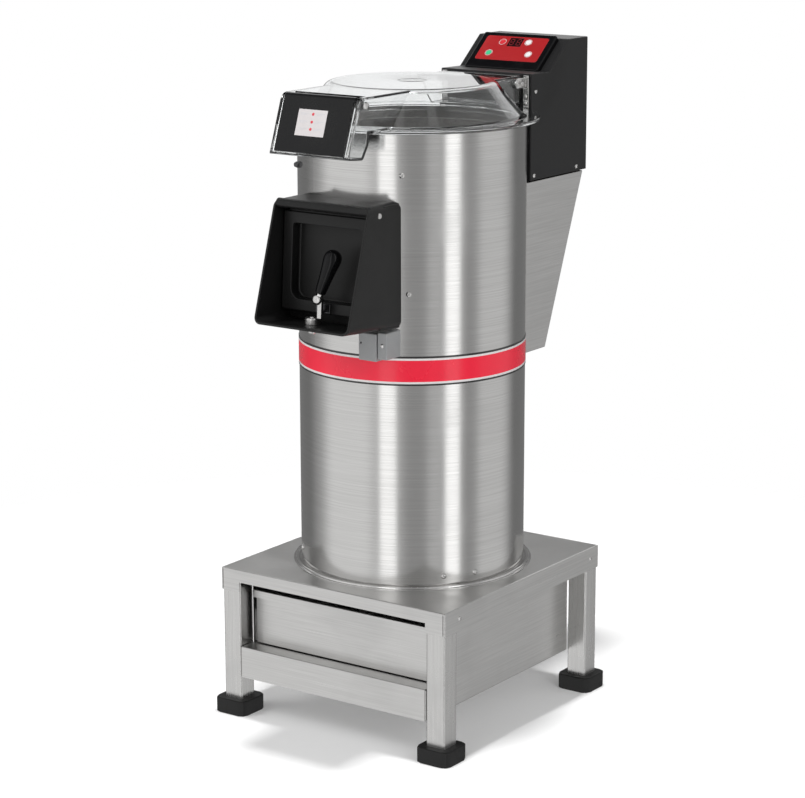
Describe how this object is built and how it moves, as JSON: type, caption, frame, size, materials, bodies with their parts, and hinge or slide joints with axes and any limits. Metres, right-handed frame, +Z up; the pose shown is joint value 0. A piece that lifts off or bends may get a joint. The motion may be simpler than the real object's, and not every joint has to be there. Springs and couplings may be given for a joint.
{
  "type": "potato peeler",
  "caption": "Floor-standing electric potato peeler: abrasive drum on a four-legged stand, clear hinged lid, latched discharge door, rear control box, sliding peel drawer.",
  "frame": {"origin": "on the floor under the centre of the whole machine's outline", "axes": "+Z up, the discharge door and drawer towards -Y, +X to the right of someone facing the door"},
  "size_m": [0.507, 0.774, 1.1822],
  "materials": {
    "stainless_sheet": "brushed vertical grain, satin",
    "stainless_tube": "brushed along the tube",
    "bright_steel": "turned and polished",
    "foot_rubber": "moulded, slightly dusty",
    "black_case": "satin powder coat",
    "black_moulded": "fine moulded texture",
    "black_gloss": "polished",
    "red_band": "smooth film",
    "red_membrane": "printed film",
    "key_green": "domed film",
    "key_red": "domed film",
    "key_grey": "domed film",
    "clear_sheet": "clear polycarbonate sheet",
    "grey_plastic": "moulded",
    "abrasive": "coarse bonded grit",
    "cast_iron_parts": "as cast",
    "painted_motor": "ribbed, enamelled",
    "circuit": "laminate",
    "brass_valve": "machined"
  },
  "bodies": {
    "frame": {"stand_top_plate": "stainless_sheet", "peel_tank": "stainless_sheet", "tank_front_rail": "stainless_sheet", "tank_drain_outlet": "stainless_sheet", "drawer_runners": "stainless_sheet", "drum_foot_ring": "stainless_sheet", "lower_drum": "stainless_sheet", "upper_drum": "stainless_sheet", "chamber_floor": "stainless_sheet", "waste_pipe": "stainless_sheet", "lid_hinge_bars": "stainless_sheet", "duct_cover": "stainless_sheet", "leg_front_left": "stainless_tube", "leg_front_right": "stainless_tube", "leg_rear_left": "stainless_tube", "leg_rear_right": "stainless_tube", "case_screws": "bright_steel", "shaft_bearings": "bright_steel", "door_hinge_pin": "bright_steel", "spray_pipe": "bright_steel", "latch_keeper_nut": "bright_steel", "foot_cap_front_left": "foot_rubber", "foot_cap_front_right": "foot_rubber", "foot_cap_rear_left": "foot_rubber", "foot_cap_rear_right": "foot_rubber", "shaft_seal": "foot_rubber", "drive_belt": "foot_rubber", "control_housing": "black_case", "discharge_hood": "black_moulded", "dark_bolts": "black_moulded", "cable_gland": "black_moulded", "contactor": "black_moulded", "control_bezel": "black_gloss", "trim_band": "red_band", "keypad_membrane": "red_membrane", "guard_switch": "grey_plastic", "abrasive_liner": "abrasive", "bearing_housing": "cast_iron_parts", "motor_body": "painted_motor", "motor_plate": "painted_motor", "circuit_board": "circuit", "water_valve": "brass_valve"},
    "lid": {"lid_shell": "clear_sheet", "lid_bolts": "bright_steel"},
    "flap": {"splash_flap": "black_gloss"},
    "door": {"discharge_door": "black_moulded", "door_gasket": "foot_rubber", "latch_bracket": "bright_steel"},
    "lever": {"latch_lever": "bright_steel", "lever_grip": "black_gloss"},
    "drawer": {"peel_drawer": "stainless_sheet"},
    "rotor": {"abrasive_disc": "abrasive", "main_shaft": "bright_steel", "driven_pulley": "cast_iron_parts"},
    "motor_rotor": {"motor_shaft": "bright_steel", "motor_pulley": "cast_iron_parts"},
    "start_button": {"start_key": "key_green"},
    "stop_button": {"stop_key": "key_red"},
    "time_up_button": {"time_up_key": "key_grey"},
    "time_down_button": {"time_down_key": "key_grey"}
  },
  "joints": [
    {"name": "lid_hinge", "type": "hinge", "parent": "frame", "child": "lid", "pos_m": [0, 0.152, 1.108], "axis": [-1, 0, 0], "range_deg": [0, 95]},
    {"name": "flap_hinge", "type": "hinge", "parent": "lid", "child": "flap", "pos_m": [0, -0.31, 1.1135], "axis": [-1, 0, 0], "range_deg": [0, 70]},
    {"name": "door_hinge", "type": "hinge", "parent": "frame", "child": "door", "pos_m": [0, -0.2963, 0.9306], "axis": [-1, 0, 0], "range_deg": [0, 55]},
    {"name": "latch_turn", "type": "hinge", "parent": "door", "child": "lever", "pos_m": [0, -0.33576, 0.78545], "axis": [0, -0.9977, 0.068], "range_deg": [0, 55]},
    {"name": "drawer_slide", "type": "slide", "parent": "frame", "child": "drawer", "axis": [0, -1, 0], "range_m": [0, 0.33]},
    {"name": "disc_spin", "type": "hinge", "parent": "frame", "child": "rotor", "pos_m": [0, -0.06, 0.74], "axis": [0, 0, 1], "continuous": true},
    {"name": "motor_spin", "type": "hinge", "parent": "frame", "child": "motor_rotor", "pos_m": [0.091, -0.135, 0.412], "axis": [0, 0, 1], "continuous": true},
    {"name": "start_press", "type": "slide", "parent": "frame", "child": "start_button", "axis": [0, 0.632, -0.7749], "range_m": [0, 0.0006], "stiffness_N_per_m": 900},
    {"name": "stop_press", "type": "slide", "parent": "frame", "child": "stop_button", "axis": [0, 0.632, -0.7749], "range_m": [0, 0.0006], "stiffness_N_per_m": 900},
    {"name": "time_up_press", "type": "slide", "parent": "frame", "child": "time_up_button", "axis": [0, 0.632, -0.7749], "range_m": [0, 0.0006], "stiffness_N_per_m": 900},
    {"name": "time_down_press", "type": "slide", "parent": "frame", "child": "time_down_button", "axis": [0, 0.632, -0.7749], "range_m": [0, 0.0006], "stiffness_N_per_m": 900}
  ],
  "couplings": [
    {"joint": "motor_spin", "follows": "disc_spin", "ratio": 3.2757}
  ]
}
